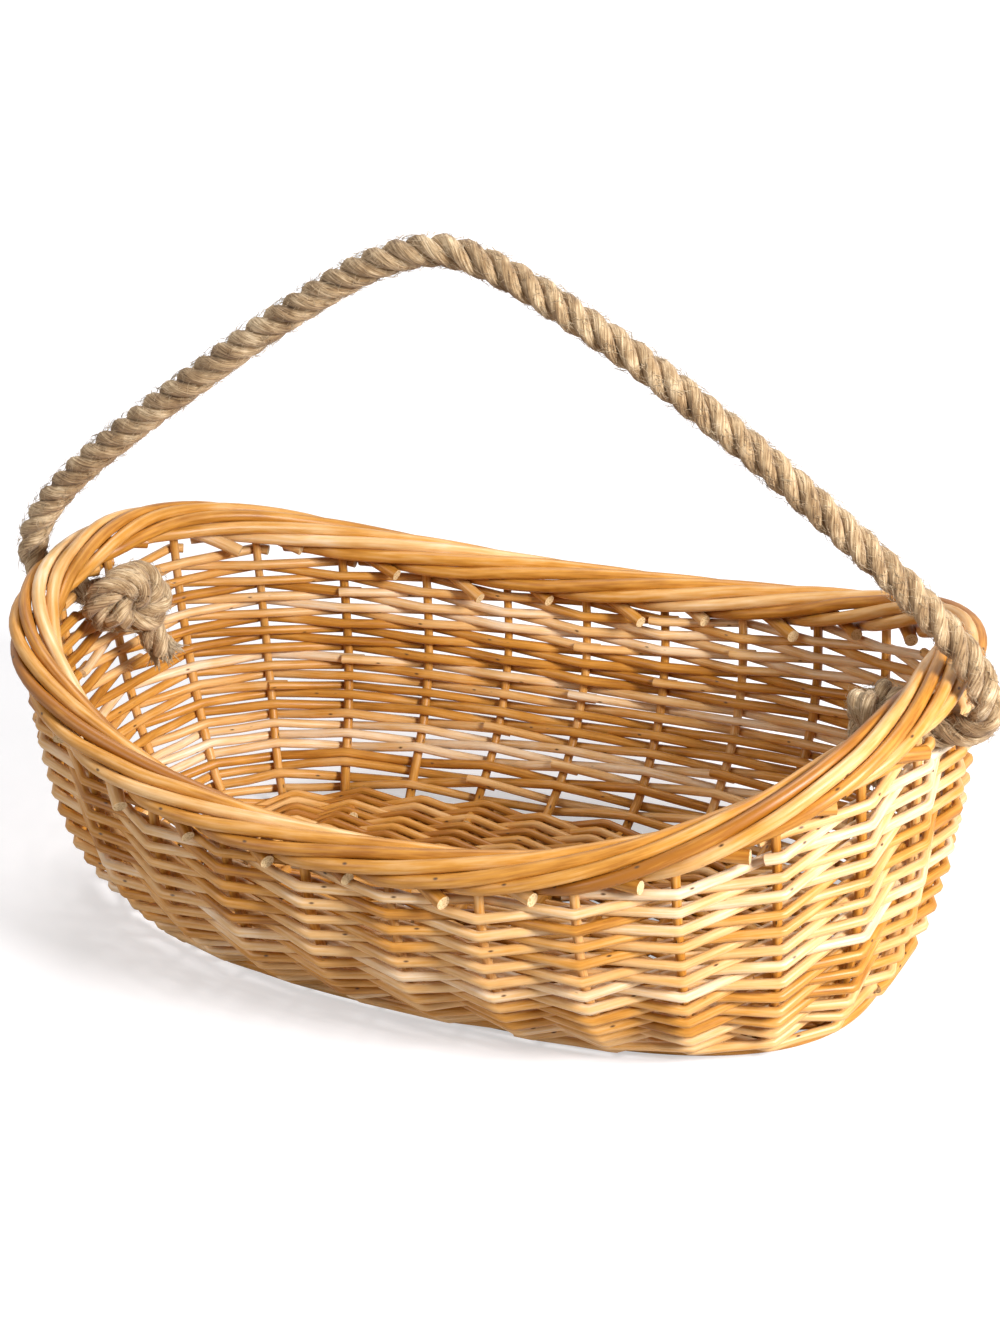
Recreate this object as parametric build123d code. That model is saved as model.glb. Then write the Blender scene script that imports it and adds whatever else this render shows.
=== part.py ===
from build123d import *
from bisect import bisect_left
from math import atan2, ceil, copysign, cos, floor, pi, radians, sin, tan
import os

# A willow trug: an oval basket with a woven floor, staked and randed walls, a rolled border
# that dips in the middle of both long sides, and a thick rope handle that swings over it.
# Millimetres. X runs along the basket, Y across it, Z up from the ground it stands on.

# Rim, measured at the middle of the rolled border
rim_half_length = 290.0
rim_half_width = 189.0
rim_side_height = 148.0
rim_end_height = 211.0
rim_shape_share = 2.5
rim_rise_share = 2.4

# Floor outline, and how much wider the basket is at its right end than at its left
floor_half_length = 253.0
floor_half_width = 118.0
floor_shape_share = 2.7
egg_share = 0.06

# How the walls bowl out between the floor and the rim
bowl_share = 3
wall_lean_out = 2.0
wall_steps = 4

# Upright stakes
stake_count = 28
stake_sides = 4
stake_half_thickness = 3.0
stake_top_above_rim = 3.0

# Weaving rods of the sides
weaver_thickness = 5.4
weaver_height = 5.8
weaver_clearance = 0.4
first_row_along = 7.5
wale_rows = 3
wale_strokes = 3
side_rows = 19
row_pitch_sides = 6.7
end_rows = 26
end_border_room = 13.7
row_pitch_ends = (rim_end_height - first_row_along - end_border_room) / end_rows
rows_per_band = 4
rods_per_row = 2
row_start_shift = 5
rod_end_gap = 0.5
packing_tail_share = 0.15

# Rolled border: how many stake spaces each rod takes over the top, and its path round the core
border_rod_radius = 4.1
border_rod_sides = 5
border_half_width = 12.6
border_half_height = 9.0
border_spaces = 5
border_low_angle = 35.0
border_cross_share = 0.34
border_cut_share = 0.43
border_cut_out = 14.5
border_cut_drop = 15.0

# Floor: sticks across, sticks along that pass through them, and the weaving between
edge_rod_width = 6.0
edge_rod_height = 5.6
floor_middle_height = 8.6
cross_stick_count = 8
cross_stick_spacing = 43.0
cross_stick_width = 6.0
cross_stick_height = 4.6
slit_block_width = 8.0
slit_block_height = 9.0
slit_block_half_length = 18.0
long_stick_count = 5
long_stick_width = 5.6
long_stick_height = 4.6
long_stick_pitch = 6.2
long_stick_straight_to = 160.0
long_stick_tip_width = 4.0
long_stick_tip_height = 3.6
slit_clearance = 0.3
fan_share = 1.35
floor_ring_count = 10
bundled_rings = 4
floor_ring_width = 5.8
floor_ring_height = 4.8
floor_ring_lift = 6.2
floor_ring_start = 5.5
floor_ring_end = 7.5
ring_start_shift = 7
floor_edge_gap = 0.8

# Rope handle: diameter, height of the holes it hangs in, and the points of its route over the basket,
# each as a distance along the basket and a rise above the holes
rope_diameter = 20.0
rope_sides = 8
hinge_below_rim = 26.5
hinge_height = rim_end_height - hinge_below_rim
knot_start = 270.0
rope_end_out = 325.0
rope_route = [
    (-rope_end_out, 0.0),
    (-331.0, 34.5),
    (-291.0, 81.5),
    (-221.0, 135.5),
    (-130.0, 201.5),
    (-62.0, 245.5),
    (-14.0, 263.0),
    (17.0, 257.5),
    (66.0, 235.5),
    (151.0, 184.5),
    (241.0, 116.5),
    (287.0, 77.5),
    (321.5, 39.5),
    (rope_end_out, 0.0),
]
bend_run_share = 0.45

# Knots that hold the rope inside the walls
knot_wrap_radius = 14.0
knot_wrap_half_thickness = 9.0
knot_wrap_steps = 8
knot_inner_end = 238.0
knot_tail_end = (229.0, -8.0, -27.0)
knot_tail_radius = 8.0
knot_sides = 6
knot_wraps = [(255.0, 20.0), (246.0, -28.0)]

# How finely curves are divided where they are measured
steps_per_space = 60
ring_steps = 360
slope_share = 0.05


def polygon(sides, radius, turn_share=0.0):
    return [
        (radius * cos(2 * pi * (i + turn_share) / sides), radius * sin(2 * pi * (i + turn_share) / sides))
        for i in range(sides)
    ]


def box_outline(width, height):
    x, y = width / 2, height / 2
    return [(x, y), (-x, y), (-x, -y), (x, -y)]


# A rod: an outline drawn at each station, a centre and two directions, with flat facets between them
def rod(stations, *outlines):
    rings = []
    for i, (centre, across, up) in enumerate(stations):
        outline = outlines[i % len(outlines)]
        rings.append([centre + across * a + up * b for a, b in outline])
    faces = [Face(Wire.make_polygon(rings[0])), Face(Wire.make_polygon(rings[-1]))]
    for one, two in zip(rings, rings[1:]):
        for i in range(len(one)):
            j = (i + 1) % len(one)
            faces.append(Face(Wire.make_polygon([one[i], one[j], two[j]])))
            faces.append(Face(Wire.make_polygon([one[i], two[j], two[i]])))
    return Solid(Shell(faces))


def between(start, end, share):
    return start + (end - start) * share


# Plan outlines: a squarish oval, a little wider towards the right end
def oval(angle, half_length, half_width, shape_share):
    x = half_length * copysign(abs(cos(angle)) ** (2 / shape_share), cos(angle))
    y = half_width * copysign(abs(sin(angle)) ** (2 / shape_share), sin(angle))
    return Vector(x, y * (1 + egg_share * x / half_length), 0)


def even_angles(curve, start, end, steps):
    angles = [start + (end - start) * i / steps for i in range(steps + 1)]
    points = [curve(angle) for angle in angles]
    lengths = [0]
    for one, two in zip(points, points[1:]):
        lengths.append(lengths[-1] + (two - one).length)
    return angles, lengths


def angle_at(table, share):
    angles, lengths = table
    wanted = share * lengths[-1]
    i = min(max(bisect_left(lengths, wanted), 1), len(lengths) - 1)
    part = (wanted - lengths[i - 1]) / (lengths[i] - lengths[i - 1])
    return angles[i - 1] + part * (angles[i] - angles[i - 1])


def rim_outline(angle):
    return oval(angle, rim_half_length, rim_half_width, rim_shape_share)


rim_table = even_angles(rim_outline, 0, 2 * pi, steps_per_space * stake_count)


# Places round the basket are counted in stake spaces from the middle of the right end
def place_angle(place):
    return angle_at(rim_table, (place % stake_count) / stake_count)


def rim_point(place):
    flat = rim_outline(place_angle(place))
    rise = (rim_end_height - rim_side_height) * (abs(flat.X) / rim_half_length) ** rim_rise_share
    return flat + Vector(0, 0, rim_side_height + rise)


def floor_point(place):
    return oval(place_angle(place), floor_half_length, floor_half_width, floor_shape_share)


def rim_frame(place):
    along = (rim_point(place + slope_share) - rim_point(place - slope_share)).normalized()
    out = along.cross(Vector(0, 0, 1)).normalized()
    return rim_point(place), out, out.cross(along)


# The wall at one place, from the floor to the rim, as the few straight lengths that a stake follows
wall_profiles = {}


def wall_profile(place):
    key = place % stake_count
    if key not in wall_profiles:
        foot = floor_point(place)
        rim, out, up = rim_frame(place)
        top = rim + out * wall_lean_out
        points = []
        for i in range(wall_steps + 1):
            share = i / wall_steps
            flat = between(foot, Vector(top.X, top.Y, 0), 1 - (1 - share) ** bowl_share)
            points.append(flat + Vector(0, 0, floor_middle_height + (rim.Z - floor_middle_height) * share))
        wall_profiles[key] = points
    return wall_profiles[key]


def wall_length(place):
    points = wall_profile(place)
    return sum((two - one).length for one, two in zip(points, points[1:]))


def wall_point(place, along):
    points = wall_profile(place)
    for one, two in zip(points, points[1:]):
        length = (two - one).length
        if along <= length or two is points[-1]:
            return between(one, two, along / length)
        along -= length


# Centre, outward and upward directions of the wall at a place, a distance up from the floor
def wall_frame(place, along):
    reach = weaver_height
    up = (wall_point(place, along + reach) - wall_point(place, along - reach)).normalized()
    round_it = wall_point(place + slope_share, along) - wall_point(place - slope_share, along)
    out = round_it.cross(up).normalized()
    return wall_point(place, along), out, up


def make_stake(index):
    place = index + 1 / 2
    points = wall_profile(place)
    stations = []
    for i, point in enumerate(points):
        before = points[max(i - 1, 0)]
        after = points[min(i + 1, wall_steps)]
        up = (after - before).normalized()
        out = rim_frame(place)[1]
        across = up.cross(out).normalized()
        stations.append((point, across.cross(up), across))
    last, facing, across = stations[-1]
    rise = (points[-1] - points[-2]).normalized() * stake_top_above_rim
    stations[-1] = (last + rise, facing, across)
    return rod(stations, polygon(stake_sides, stake_half_thickness))


# Rows of weaving: in front of a stake or behind it, straight from each stake to the next
weaver_offset = stake_half_thickness + weaver_clearance + weaver_thickness / 2
weaver_outline = box_outline(weaver_thickness, weaver_height)


def row_along(row, place):
    end_share = (abs(floor_point(place).X) / floor_half_length) ** 2
    pitch = row_pitch_sides + (row_pitch_ends - row_pitch_sides) * end_share
    return first_row_along + row * pitch


def row_side(row, stake):
    if row < wale_rows:
        return -1 if (stake % stake_count + row) % wale_strokes == 0 else 1
    return 1 if (stake + row) % 2 == 0 else -1


def row_station(row, stake):
    place = stake + 1 / 2
    centre, out, up = wall_frame(place, row_along(row, place))
    return centre + out * weaver_offset * row_side(row, stake), out, up


def station_between(one, two, share):
    return between(one[0], two[0], share), between(one[1], two[1], share), between(one[2], two[2], share)


# A rod that passes a number of sticks and ends halfway to the next one at both ends, short of its neighbour
def short_of_middle(one, two):
    return station_between(one, two, 1 / 2 - rod_end_gap / 2 / (two[0] - one[0]).length)


def passing_rod(passed, outline):
    start = short_of_middle(passed[1], passed[0])
    end = short_of_middle(passed[-2], passed[-1])
    return rod([start] + passed[1:-1] + [end], outline)


def full_row(row):
    stakes = stake_count // rods_per_row
    rods = []
    for part in range(rods_per_row):
        first = row_start_shift * row + part * stakes
        rods.append(passing_rod([row_station(row, first + i) for i in range(-1, stakes + 1)], weaver_outline))
    return rods


# Packing rows fill the rise of each end, up to the underside of the border and beside the rope's hole
border_underside = border_half_height + border_rod_radius + weaver_clearance
hole_half_width = rope_diameter / 2 + 2 * weaver_height


def row_fits(row, stake):
    place = stake + 1 / 2
    return row_along(row, place) + weaver_height / 2 + border_underside < wall_length(place)


def row_meets_hole(row, place):
    top = wall_point(place, row_along(row, place) + weaver_height / 2).Z
    return top > hinge_height - rope_diameter / 2 - weaver_clearance


def end_packing(end_place):
    rods = []
    row = wale_rows + side_rows
    while row_fits(row, end_place):
        reach = 0
        while row_fits(row, end_place + reach) and reach < stake_count // 4:
            reach += 1
        if row_meets_hole(row, end_place):
            hole_share = 1 / 2 - hole_half_width / (rim_point(end_place) - rim_point(end_place + 1)).length
            rods.append(packing_rod(row, end_place, reach, hole_share, packing_tail_share))
            rods.append(packing_rod(row, end_place - reach, reach, packing_tail_share, hole_share))
        else:
            rods.append(packing_rod(row, end_place - reach, 2 * reach, packing_tail_share, packing_tail_share))
        row += 1
    return rods


def packing_rod(row, first_stake, stakes, start_share, end_share):
    passed = [row_station(row, first_stake + i) for i in range(-1, stakes + 1)]
    start = station_between(passed[1], passed[0], start_share)
    end = station_between(passed[-2], passed[-1], end_share)
    return rod([start] + passed[1:-1] + [end], weaver_outline)


# Rolled border: each rod starts with a cut end inside, dives out under the border, climbs over
# the top while it passes five stake spaces, and dives back out to a cut end below the outer edge
def border_ring(angle):
    return Vector(border_half_width * cos(angle), border_half_height * sin(angle), 0)


ring_table = even_angles(border_ring, -radians(border_low_angle), pi + radians(border_low_angle), ring_steps)


def border_path(index):
    start = index + 1 / 2
    path = [
        (start - border_cross_share - border_cut_share, -border_cut_out, -border_cut_drop),
        (start - border_cross_share, 0, -border_half_height),
    ]
    steps = [0, 1 / 2] + list(range(1, border_spaces)) + [border_spaces - 1 / 2, border_spaces]
    for step in steps:
        point = border_ring(angle_at(ring_table, step / border_spaces))
        path.append((start + step, point.X, point.Y))
    end = start + border_spaces
    path.append((end + border_cross_share, 0, -border_half_height))
    path.append((end + border_cross_share + border_cut_share, border_cut_out, -border_cut_drop))
    return path


# The border runs straight from stake to stake, so a place between two is read off the line between them
def border_station(place, out_by, up_by):
    stake = floor(place - 1 / 2) + 1 / 2
    ends = []
    for centre, out, up in (rim_frame(stake), rim_frame(stake + 1)):
        ends.append((centre + out * out_by + up * up_by, out, up))
    return station_between(*ends, place - stake)


def make_border_rod(index):
    stations = [border_station(*point) for point in border_path(index)]
    return rod(stations, polygon(border_rod_sides, border_rod_radius))


# Floor sticks. The long ones lie side by side through slits in the cross sticks, then fan out
def cross_stick_half_length(x):
    inner_edge = edge_rod_width / 2 + floor_edge_gap
    share = (1 - (abs(x) / floor_half_length) ** floor_shape_share) ** (1 / floor_shape_share)
    return floor_half_width * share * (1 + egg_share * x / floor_half_length) - inner_edge


def centred_box(length, width, height, x=0.0, y=0.0, z=floor_middle_height):
    return Pos(x, y, z) * Box(length, width, height)


def make_cross_stick(x):
    half = cross_stick_half_length(x)
    stick = centred_box(cross_stick_width, 2 * half, cross_stick_height, x)
    stick += centred_box(slit_block_width, 2 * slit_block_half_length, slit_block_height, x)
    slit_width = long_stick_count * long_stick_pitch + 2 * slit_clearance
    return stick - centred_box(2 * slit_block_width, slit_width, long_stick_height + 2 * slit_clearance, x)


def long_stick_points(index):
    offset = index - (long_stick_count - 1) / 2
    y = offset * long_stick_pitch
    points = []
    for side in (-1, 1):
        place = fan_share * offset if side > 0 else stake_count / 2 - fan_share * offset
        rim = floor_point(place)
        inward = 1 - (edge_rod_width / 2 + floor_edge_gap) / rim.length
        points.append((Vector(side * long_stick_straight_to, y, 0), rim * inward))
    (left, left_tip), (right, right_tip) = points
    return [left_tip, left, right, right_tip]


def make_long_stick(index):
    stations = []
    points = long_stick_points(index)
    for i, point in enumerate(points):
        heading = (points[min(i + 1, 3)] - points[max(i - 1, 0)]).normalized()
        across = Vector(0, 0, 1).cross(heading)
        stations.append((point + Vector(0, 0, floor_middle_height), across, Vector(0, 0, 1)))
    tip = box_outline(long_stick_tip_width, long_stick_tip_height)
    middle = box_outline(long_stick_width, long_stick_height)
    return rod(stations, tip, middle, middle, tip)


# Spokes of the floor, in order round it: where the weaving starts and ends on each
def floor_spokes():
    spokes = []
    for i in range(cross_stick_count):
        x = (i - (cross_stick_count - 1) / 2) * cross_stick_spacing
        for side in (-1, 1):
            start = Vector(x, side * (slit_block_half_length + floor_ring_start), 0)
            end = Vector(x, side * (cross_stick_half_length(x) - floor_ring_end), 0)
            spokes.append((start, end))
    for i in range(long_stick_count):
        left_tip, left, right, right_tip = long_stick_points(i)
        for straight, tip in ((left, left_tip), (right, right_tip)):
            heading = (tip - straight).normalized()
            spokes.append((straight + heading * floor_ring_start, tip - heading * floor_ring_end))
    return sorted(spokes, key=lambda spoke: atan2(spoke[1].Y, spoke[1].X))


floor_ring_outline = box_outline(floor_ring_width, floor_ring_height)


# The first rings pass over or under all the sticks of an end at once, the others over one at a time
def make_floor_ring(index):
    spokes = floor_spokes()
    count = len(spokes)
    share = index / (floor_ring_count - 1)
    bundle_from = (cross_stick_count - 1) / 2 * cross_stick_spacing - cross_stick_width
    stations = []
    turn = index
    for i, (start, end) in enumerate(spokes):
        in_bundle = index < bundled_rings and abs(start.X) > bundle_from
        before_in_bundle = index < bundled_rings and abs(spokes[i - 1][0].X) > bundle_from
        if not (in_bundle and before_in_bundle):
            turn += 1
        lift = floor_ring_lift if turn % 2 == 0 else -floor_ring_lift
        out = (end - start).normalized()
        centre = between(start, end, share) + Vector(0, 0, floor_middle_height + lift)
        stations.append((centre, out, Vector(0, 0, 1)))
    rods = []
    half = count // 2
    for part in range(2):
        first = ring_start_shift * index + part * half
        passed = [stations[(first + i) % count] for i in range(-1, half + 1)]
        rods.append(passing_rod(passed, floor_ring_outline))
    return rods


# The rod that runs round the very edge of the floor, under the feet of the stakes
def make_edge_rod():
    outer = []
    inner = []
    for i in range(stake_count):
        point = floor_point(i + 1 / 2)
        out = Vector(point.X, point.Y * (rim_half_length / rim_half_width) ** 2, 0).normalized()
        outer.append(point + out * edge_rod_width / 2)
        inner.append(point - out * edge_rod_width / 2)
    face = Face(Wire.make_polygon(outer), [Wire.make_polygon(inner)])
    return extrude(face, edge_rod_height, dir=(0, 0, 1))


# The route of the rope as straight runs and tangent bends, each as wide as its runs allow
def bend_radii(points):
    radii = []
    for before, here, after in zip(points, points[1:], points[2:]):
        turn = abs((here - before).get_angle(after - here))
        shorter = min((here - before).length, (after - here).length)
        radii.append(bend_run_share * shorter / tan(radians(turn) / 2))
    return radii


def make_rope():
    route = [(-knot_start, 0.0)] + rope_route + [(knot_start, 0.0)]
    points = [Vector(x, 0, hinge_height + rise) for x, rise in route]
    radii = bend_radii(points)
    print("rope radii", [round(radius, 1) for radius in radii])
    path = FilletPolyline(*points, radius=radii)
    section = Plane(points[0], z_dir=points[1] - points[0]) * RegularPolygon(rope_diameter / 2, rope_sides)
    rope = sweep(section, path=path)
    print("rope volume", round(rope.volume), "section by length", round(section.area * path.length))
    return rope


# A knot: two tilted wraps round the rope's end, and a short tail that hangs from it
def half_wrap(x, tilt, start):
    stations = []
    lean = Vector(cos(radians(tilt)), 0, sin(radians(tilt)))
    side = Vector(0, 1, 0)
    top = lean.cross(side)
    half = knot_wrap_steps // 2
    for i in range(half + 1):
        angle = 2 * pi * (start + i) / knot_wrap_steps
        radial = side * cos(angle) + top * sin(angle)
        stations.append((Vector(x, 0, hinge_height) + radial * knot_wrap_radius, radial, lean))
    return rod(stations, polygon(knot_sides, knot_wrap_half_thickness, 1 / 2))


def make_knot(side):
    axis = Vector(0, 0, 1)
    core = rod(
        [
            (Vector(knot_start, 0, hinge_height), Vector(0, 1, 0), axis),
            (Vector(knot_inner_end, 0, hinge_height), Vector(0, 1, 0), axis),
        ],
        polygon(rope_sides, rope_diameter / 2, 1 / 2),
    )
    tail_start = Vector(knot_inner_end + knot_tail_radius, 0, hinge_height)
    tail_end = Vector(*knot_tail_end) + Vector(0, 0, hinge_height)
    heading = (tail_end - tail_start).normalized()
    across = heading.cross(Vector(0, 1, 0)).normalized()
    up = heading.cross(across)
    tail = rod([(tail_start, across, up), (tail_end, across, up)], polygon(knot_sides, knot_tail_radius))
    knot = core + tail
    for x, tilt in knot_wraps:
        for start in (0, knot_wrap_steps // 2):
            knot += half_wrap(x, tilt, start)
    return knot if side > 0 else mirror(knot, about=Plane.YZ)


def write(name, shapes):
    solids = []
    for shape in shapes:
        solids.extend(shape.solids())
    node = solids[0] if len(solids) == 1 else Compound(children=solids)
    node.label = name
    export_step(node, os.path.join("parts", name + ".step"))


os.makedirs("parts", exist_ok=True)

cross_places = [(i - (cross_stick_count - 1) / 2) * cross_stick_spacing for i in range(cross_stick_count)]
write("base_cross_sticks", [make_cross_stick(x) for x in cross_places])
write("base_long_sticks", [make_long_stick(i) for i in range(long_stick_count)])
floor_rings = [make_floor_ring(i) for i in range(floor_ring_count)]
inner_rings = floor_ring_count // 2
write("base_weave_inner", sum(floor_rings[:inner_rings], []))
write("base_weave_outer", sum(floor_rings[inner_rings:], []))
write("base_edge_rod", [make_edge_rod()])

for i in range(stake_count):
    write(f"stake_{i + 1:02d}", [make_stake(i)])

write("upsett_wale", sum([full_row(row) for row in range(wale_rows)], []))
for band in range(ceil(side_rows / rows_per_band)):
    first_row = wale_rows + band * rows_per_band
    last_row = min(first_row + rows_per_band, wale_rows + side_rows)
    write(f"side_weave_{band + 1}", sum([full_row(row) for row in range(first_row, last_row)], []))
write("end_packing_right", end_packing(0))
write("end_packing_left", end_packing(stake_count // 2))

for pair in range(stake_count // 2):
    write(f"border_rods_{pair + 1:02d}", [make_border_rod(2 * pair), make_border_rod(2 * pair + 1)])

write("rope_handle", [make_rope()])
write("right_knot", [make_knot(1)])
write("left_knot", [make_knot(-1)])
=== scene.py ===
import random
from math import cos, pi, radians, sin, tau

import bpy
import numpy as np
from mathutils import Matrix, Vector


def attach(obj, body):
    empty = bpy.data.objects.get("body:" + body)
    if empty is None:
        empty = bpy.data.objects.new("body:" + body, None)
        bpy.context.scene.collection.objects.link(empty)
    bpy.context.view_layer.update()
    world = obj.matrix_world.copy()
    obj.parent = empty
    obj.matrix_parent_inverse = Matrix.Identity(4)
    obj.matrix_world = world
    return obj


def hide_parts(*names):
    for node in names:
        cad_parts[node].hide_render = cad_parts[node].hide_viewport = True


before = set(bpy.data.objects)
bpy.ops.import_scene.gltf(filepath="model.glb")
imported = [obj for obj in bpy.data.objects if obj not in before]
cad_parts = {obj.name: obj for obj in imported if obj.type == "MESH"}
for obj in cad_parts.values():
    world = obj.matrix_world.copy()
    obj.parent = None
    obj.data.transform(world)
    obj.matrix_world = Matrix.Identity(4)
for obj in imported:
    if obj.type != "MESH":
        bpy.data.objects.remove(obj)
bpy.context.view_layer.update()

print("frame loaded:", len(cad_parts), "nodes")
random.seed(28)
zAxis = Vector((0, 0, 1))

# Camera at the photograph's angle: eye, the way back from the basket, and up with the picture's tilt
cameraView = {
    "eye": (0.87115, -1.58784, 1.0674),
    "back": (0.42752, -0.78907, 0.44112),
    "up": (-0.14829, 0.42014, 0.89526),
    "lens": 88.93,
}


def placeCamera():
    bpy.ops.object.camera_add()
    camera = bpy.context.object
    camera.name = "camera"
    camera.data.lens = cameraView["lens"]
    camera.data.sensor_width = 36
    camera.data.clip_end = 30
    back = Vector(cameraView["back"]).normalized()
    right = Vector(cameraView["up"]).cross(back).normalized()
    up = back.cross(right)
    turn = Matrix((right, up, back)).transposed().to_4x4()
    camera.matrix_world = Matrix.Translation(cameraView["eye"]) @ turn
    bpy.context.scene.camera = camera


placeCamera()

# Shape of the basket in metres: rim at the middle of the rolled border, and the floor's outline
basket = {
    "rimHalfLength": 0.290,
    "rimHalfWidth": 0.189,
    "rimSideHeight": 0.148,
    "rimEndHeight": 0.211,
    "rimShape": 2.5,
    "rimRise": 2.4,
    "floorHalfLength": 0.253,
    "floorHalfWidth": 0.118,
    "floorShape": 2.7,
    "floorHeight": 0.0086,
    "egg": 0.06,
    "bowl": 3,
    "lean": 0.002,
    "stakes": 28,
    "nearPlace": 0.05,  # how far to either side a direction is read, in stake spaces
    "nearHeight": 0.006,
}


def ovalPoint(angle, halfLength, halfWidth, shape):
    c, s = cos(angle), sin(angle)
    x = halfLength * abs(c) ** (2 / shape) * (1 if c >= 0 else -1)
    y = halfWidth * abs(s) ** (2 / shape) * (1 if s >= 0 else -1)
    return Vector((x, y * (1 + basket["egg"] * x / halfLength), 0))


def rimOutline(angle):
    return ovalPoint(angle, basket["rimHalfLength"], basket["rimHalfWidth"], basket["rimShape"])


rimAngles = np.linspace(0, tau, 1681)
rimOutlinePoints = np.array([rimOutline(a) for a in rimAngles])
rimLengths = np.concatenate([[0], np.cumsum(np.linalg.norm(np.diff(rimOutlinePoints, axis=0), axis=1))])


# A place round the basket is counted in stake spaces from the middle of the right end
def placeAngle(place):
    share = place % basket["stakes"] / basket["stakes"]
    return float(np.interp(share * rimLengths[-1], rimLengths, rimAngles))


def rimPoint(place):
    flat = rimOutline(placeAngle(place))
    rise = basket["rimEndHeight"] - basket["rimSideHeight"]
    height = basket["rimSideHeight"] + rise * (abs(flat.x) / basket["rimHalfLength"]) ** basket["rimRise"]
    return flat + height * zAxis


def floorPoint(place):
    return ovalPoint(placeAngle(place), basket["floorHalfLength"], basket["floorHalfWidth"], basket["floorShape"])


def rimAxes(place):
    near = basket["nearPlace"]
    along = (rimPoint(place + near) - rimPoint(place - near)).normalized()
    out = along.cross(zAxis).normalized()
    return rimPoint(place), out, out.cross(along)


wallProfiles = {}


# The wall at a place: points from the floor to the rim and how far up each one is
def wallProfile(place, steps=12):
    key = round(place % basket["stakes"], 4)
    if key not in wallProfiles:
        foot = floorPoint(place)
        rim, out, up = rimAxes(place)
        top = rim + out * basket["lean"]
        points = []
        for i in range(steps + 1):
            share = i / steps
            flat = foot.lerp(Vector((top.x, top.y, 0)), 1 - (1 - share) ** basket["bowl"])
            points.append(flat + zAxis * (basket["floorHeight"] + (rim.z - basket["floorHeight"]) * share))
        points = np.array(points)
        lengths = np.concatenate([[0], np.cumsum(np.linalg.norm(np.diff(points, axis=0), axis=1))])
        wallProfiles[key] = points, lengths
    return wallProfiles[key]


def wallPoint(place, along):
    points, lengths = wallProfile(place)
    return Vector([float(np.interp(along, lengths, points[:, i])) for i in range(3)])


def wallAxes(place, along):
    near, nearHeight = basket["nearPlace"], basket["nearHeight"]
    up = (wallPoint(place, along + nearHeight) - wallPoint(place, max(along - nearHeight, 0))).normalized()
    around = wallPoint(place + near, along) - wallPoint(place - near, along)
    out = around.cross(up).normalized()
    return wallPoint(place, along), out, up


# Materials

def addNode(tree, kind, inputs=None, **settings):
    node = tree.nodes.new(kind)
    for key, value in settings.items():
        setattr(node, key, value)
    for key, value in (inputs or {}).items():
        if isinstance(value, bpy.types.NodeSocket):
            tree.links.new(value, node.inputs[key])
        else:
            node.inputs[key].default_value = value
    return node


def addRamp(tree, factor, stops):
    ramp = addNode(tree, "ShaderNodeValToRGB", {"Fac": factor})
    elements = ramp.color_ramp.elements
    while len(elements) < len(stops):
        elements.new(1)
    for element, (position, colour) in zip(elements, stops):
        element.position = position
        element.color = (*colour, 1)
    return ramp.outputs["Color"]


def startMaterial(name):
    material = bpy.data.materials.new(name)
    material.use_nodes = True
    tree = material.node_tree
    return material, tree, tree.nodes["Principled BSDF"]


willowColours = {
    "pale": (0.84, 0.69, 0.52),
    "honey": (0.72, 0.44, 0.19),
    "amber": (0.56, 0.25, 0.040),
    "brown": (0.32, 0.112, 0.009),
    "knot": (0.10, 0.045, 0.015),
    "cut": (0.68, 0.50, 0.27),
    "pith": (0.36, 0.21, 0.08),
}


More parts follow.
